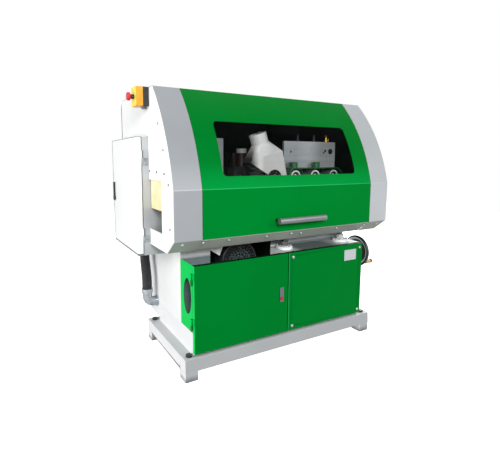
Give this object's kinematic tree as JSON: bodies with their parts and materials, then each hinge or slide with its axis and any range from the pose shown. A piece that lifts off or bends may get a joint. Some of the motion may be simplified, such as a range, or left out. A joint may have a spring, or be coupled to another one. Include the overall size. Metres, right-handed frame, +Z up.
{
  "type": "round stick making machine",
  "caption": "Floor machine that turns square wooden blanks into round sticks, with a windowed lifting hood, motor bay, electrical cabinet and handwheel lift.",
  "frame": {"origin": "on the floor under the middle of the whole machine's box", "axes": "+X along the stick from infeed to outfeed, +Y from the front to the back, +Z up"},
  "size_m": [1.2, 0.7275, 1.161],
  "materials": {
    "green_paint": "satin",
    "grey_paint": "satin",
    "white_paint": "satin",
    "dark_paint": "matte",
    "brown_paint": "satin",
    "steel": "brushed",
    "zinc": "satin",
    "cast_green": "painted",
    "cast_iron": "machined",
    "aluminium": "satin",
    "window": "clear",
    "black_plastic": "matte",
    "yellow_plastic": "gloss",
    "red_plastic": "gloss",
    "cream_strip": "translucent",
    "white_plastic": "matte",
    "rubber": "matte"
  },
  "bodies": {
    "machine": {"base_frame": "white_paint", "levelling_bolts": "dark_paint", "plinth": "white_paint", "left_pillar": "white_paint", "right_column": "white_paint", "bay_divider": "white_paint", "rear_belt_guard": "white_paint", "bed_plate": "cast_iron", "guide_posts": "steel", "side_covers": "green_paint", "right_front_panel": "green_paint", "front_bolts": "steel", "top_plate": "steel", "screw_flanges": "aluminium", "hinge_pins": "zinc", "left_end_panel": "grey_paint", "right_end_panel": "grey_paint", "front_strips": "grey_paint", "roof_and_back": "grey_paint", "cabinet_body": "grey_paint", "switchgear": "white_plastic", "estop_base": "black_plastic", "estop_cover": "yellow_plastic", "conduit": "black_plastic", "conduit_fittings": "zinc", "motor_housing": "dark_paint", "fan_cover": "dark_paint", "drive_belt": "rubber", "spindle_housing": "cast_green", "dust_chute": "white_plastic", "infeed_guard": "grey_paint", "infeed_pressure_unit": "brown_paint", "outfeed_frame": "cast_green", "outfeed_plate": "steel", "feed_gearmotor": "dark_paint"},
    "cover": {"cover_skin": "green_paint", "window_pane": "window", "cover_handle": "aluminium", "cover_lip": "grey_paint"},
    "bay_door": {"motor_bay_door": "green_paint", "latch_body": "zinc"},
    "latch": {"latch_button": "red_plastic"},
    "cabinet_door": {"cabinet_door": "grey_paint"},
    "cabinet_lock": {"cabinet_lock": "black_plastic"},
    "estop": {"estop_button": "red_plastic"},
    "lift": {"lift_table": "cast_iron"},
    "wheel": {"handwheel": "black_plastic", "cross_shaft": "steel"},
    "grip": {"crank_grip": "black_plastic"},
    "left_screw": {"left_jackscrew": "steel"},
    "right_screw": {"right_jackscrew": "steel"},
    "rotor": {"motor_rotor": "steel"},
    "upper_cutter": {"upper_spindle": "steel", "upper_cutter": "steel"},
    "lower_cutter": {"lower_spindle": "steel"},
    "feed_in": {"infeed_roller": "steel"},
    "feed_out_1": {"outfeed_roller_1": "steel"},
    "feed_out_2": {"outfeed_roller_2": "steel"},
    "feed_out_3": {"outfeed_roller_3": "steel"},
    "flap": {"infeed_flap": "cream_strip"}
  },
  "joints": [
    {"name": "cover_hinge", "type": "hinge", "parent": "machine", "child": "cover", "pos_m": [0.04, -0.07025, 1.157], "axis": [-1, 0, 0], "range_deg": [0, 75]},
    {"name": "bay_door_hinge", "type": "hinge", "parent": "machine", "child": "bay_door", "pos_m": [-0.427, -0.2575, 0.283], "axis": [0, 0, -1], "range_deg": [0, 110]},
    {"name": "latch_press", "type": "slide", "parent": "bay_door", "child": "latch", "axis": [0, 1, 0], "range_m": [0, 0.003], "stiffness_N_per_m": 400},
    {"name": "cabinet_door_hinge", "type": "hinge", "parent": "machine", "child": "cabinet_door", "pos_m": [-0.54725, -0.05525, 0.716], "axis": [0, 0, 1], "range_deg": [0, 120]},
    {"name": "cabinet_lock_turn", "type": "hinge", "parent": "cabinet_door", "child": "cabinet_lock", "pos_m": [-0.572, 0.32375, 0.686], "axis": [1, 0, 0], "range_deg": [0, 90]},
    {"name": "estop_press", "type": "slide", "parent": "machine", "child": "estop", "axis": [1, 0, 0], "range_m": [0, 0.005]},
    {"name": "table_lift", "type": "slide", "parent": "machine", "child": "lift", "axis": [0, 0, 1], "range_m": [-0.01, 0.01]},
    {"name": "handwheel_turn", "type": "hinge", "parent": "machine", "child": "wheel", "pos_m": [0.545, -0.19025, 0.398], "axis": [1, 0, 0], "range_deg": [-905, 905]},
    {"name": "left_screw_turn", "type": "hinge", "parent": "machine", "child": "left_screw", "pos_m": [0.073, -0.19025, 0.398], "axis": [0, 0, 1], "range_deg": [-905, 905]},
    {"name": "right_screw_turn", "type": "hinge", "parent": "machine", "child": "right_screw", "pos_m": [0.425, -0.19025, 0.398], "axis": [0, 0, 1], "range_deg": [-905, 905]},
    {"name": "grip_spin", "type": "hinge", "parent": "wheel", "child": "grip", "pos_m": [0.545, -0.24376, 0.34982], "axis": [1, 0, 0], "continuous": true},
    {"name": "motor_spin", "type": "hinge", "parent": "machine", "child": "rotor", "pos_m": [-0.118, -0.04825, 0.408], "axis": [0, 1, 0], "continuous": true},
    {"name": "lower_spindle_spin", "type": "hinge", "parent": "machine", "child": "lower_cutter", "pos_m": [0.04, -0.04825, 0.703], "axis": [0, 1, 0], "continuous": true},
    {"name": "upper_spindle_spin", "type": "hinge", "parent": "machine", "child": "upper_cutter", "pos_m": [0.04, -0.04825, 0.797], "axis": [0, 1, 0], "continuous": true},
    {"name": "infeed_roller_spin", "type": "hinge", "parent": "machine", "child": "feed_in", "pos_m": [-0.065, -0.04825, 0.795], "axis": [0, 1, 0], "continuous": true},
    {"name": "outfeed_roller_1_spin", "type": "hinge", "parent": "machine", "child": "feed_out_1", "pos_m": [0.157, -0.04825, 0.792], "axis": [0, 1, 0], "continuous": true},
    {"name": "outfeed_roller_2_spin", "type": "hinge", "parent": "machine", "child": "feed_out_2", "pos_m": [0.2765, -0.04825, 0.792], "axis": [0, 1, 0], "continuous": true},
    {"name": "outfeed_roller_3_spin", "type": "hinge", "parent": "machine", "child": "feed_out_3", "pos_m": [0.396, -0.04825, 0.792], "axis": [0, 1, 0], "continuous": true},
    {"name": "flap_swing", "type": "hinge", "parent": "machine", "child": "flap", "pos_m": [-0.5117, -0.12425, 0.794], "axis": [0, -1, 0], "range_deg": [0, 60]}
  ],
  "couplings": [
    {"joint": "handwheel_turn", "follows": "table_lift", "rad_per_m": 1570.8},
    {"joint": "left_screw_turn", "follows": "table_lift", "rad_per_m": -1570.8},
    {"joint": "right_screw_turn", "follows": "table_lift", "rad_per_m": -1570.8},
    {"joint": "lower_spindle_spin", "follows": "motor_spin", "ratio": 1.55},
    {"joint": "upper_spindle_spin", "follows": "motor_spin", "ratio": -1.55},
    {"joint": "outfeed_roller_1_spin", "follows": "infeed_roller_spin", "ratio": 1.0714},
    {"joint": "outfeed_roller_2_spin", "follows": "infeed_roller_spin", "ratio": 1.0714},
    {"joint": "outfeed_roller_3_spin", "follows": "infeed_roller_spin", "ratio": 1.0714}
  ]
}
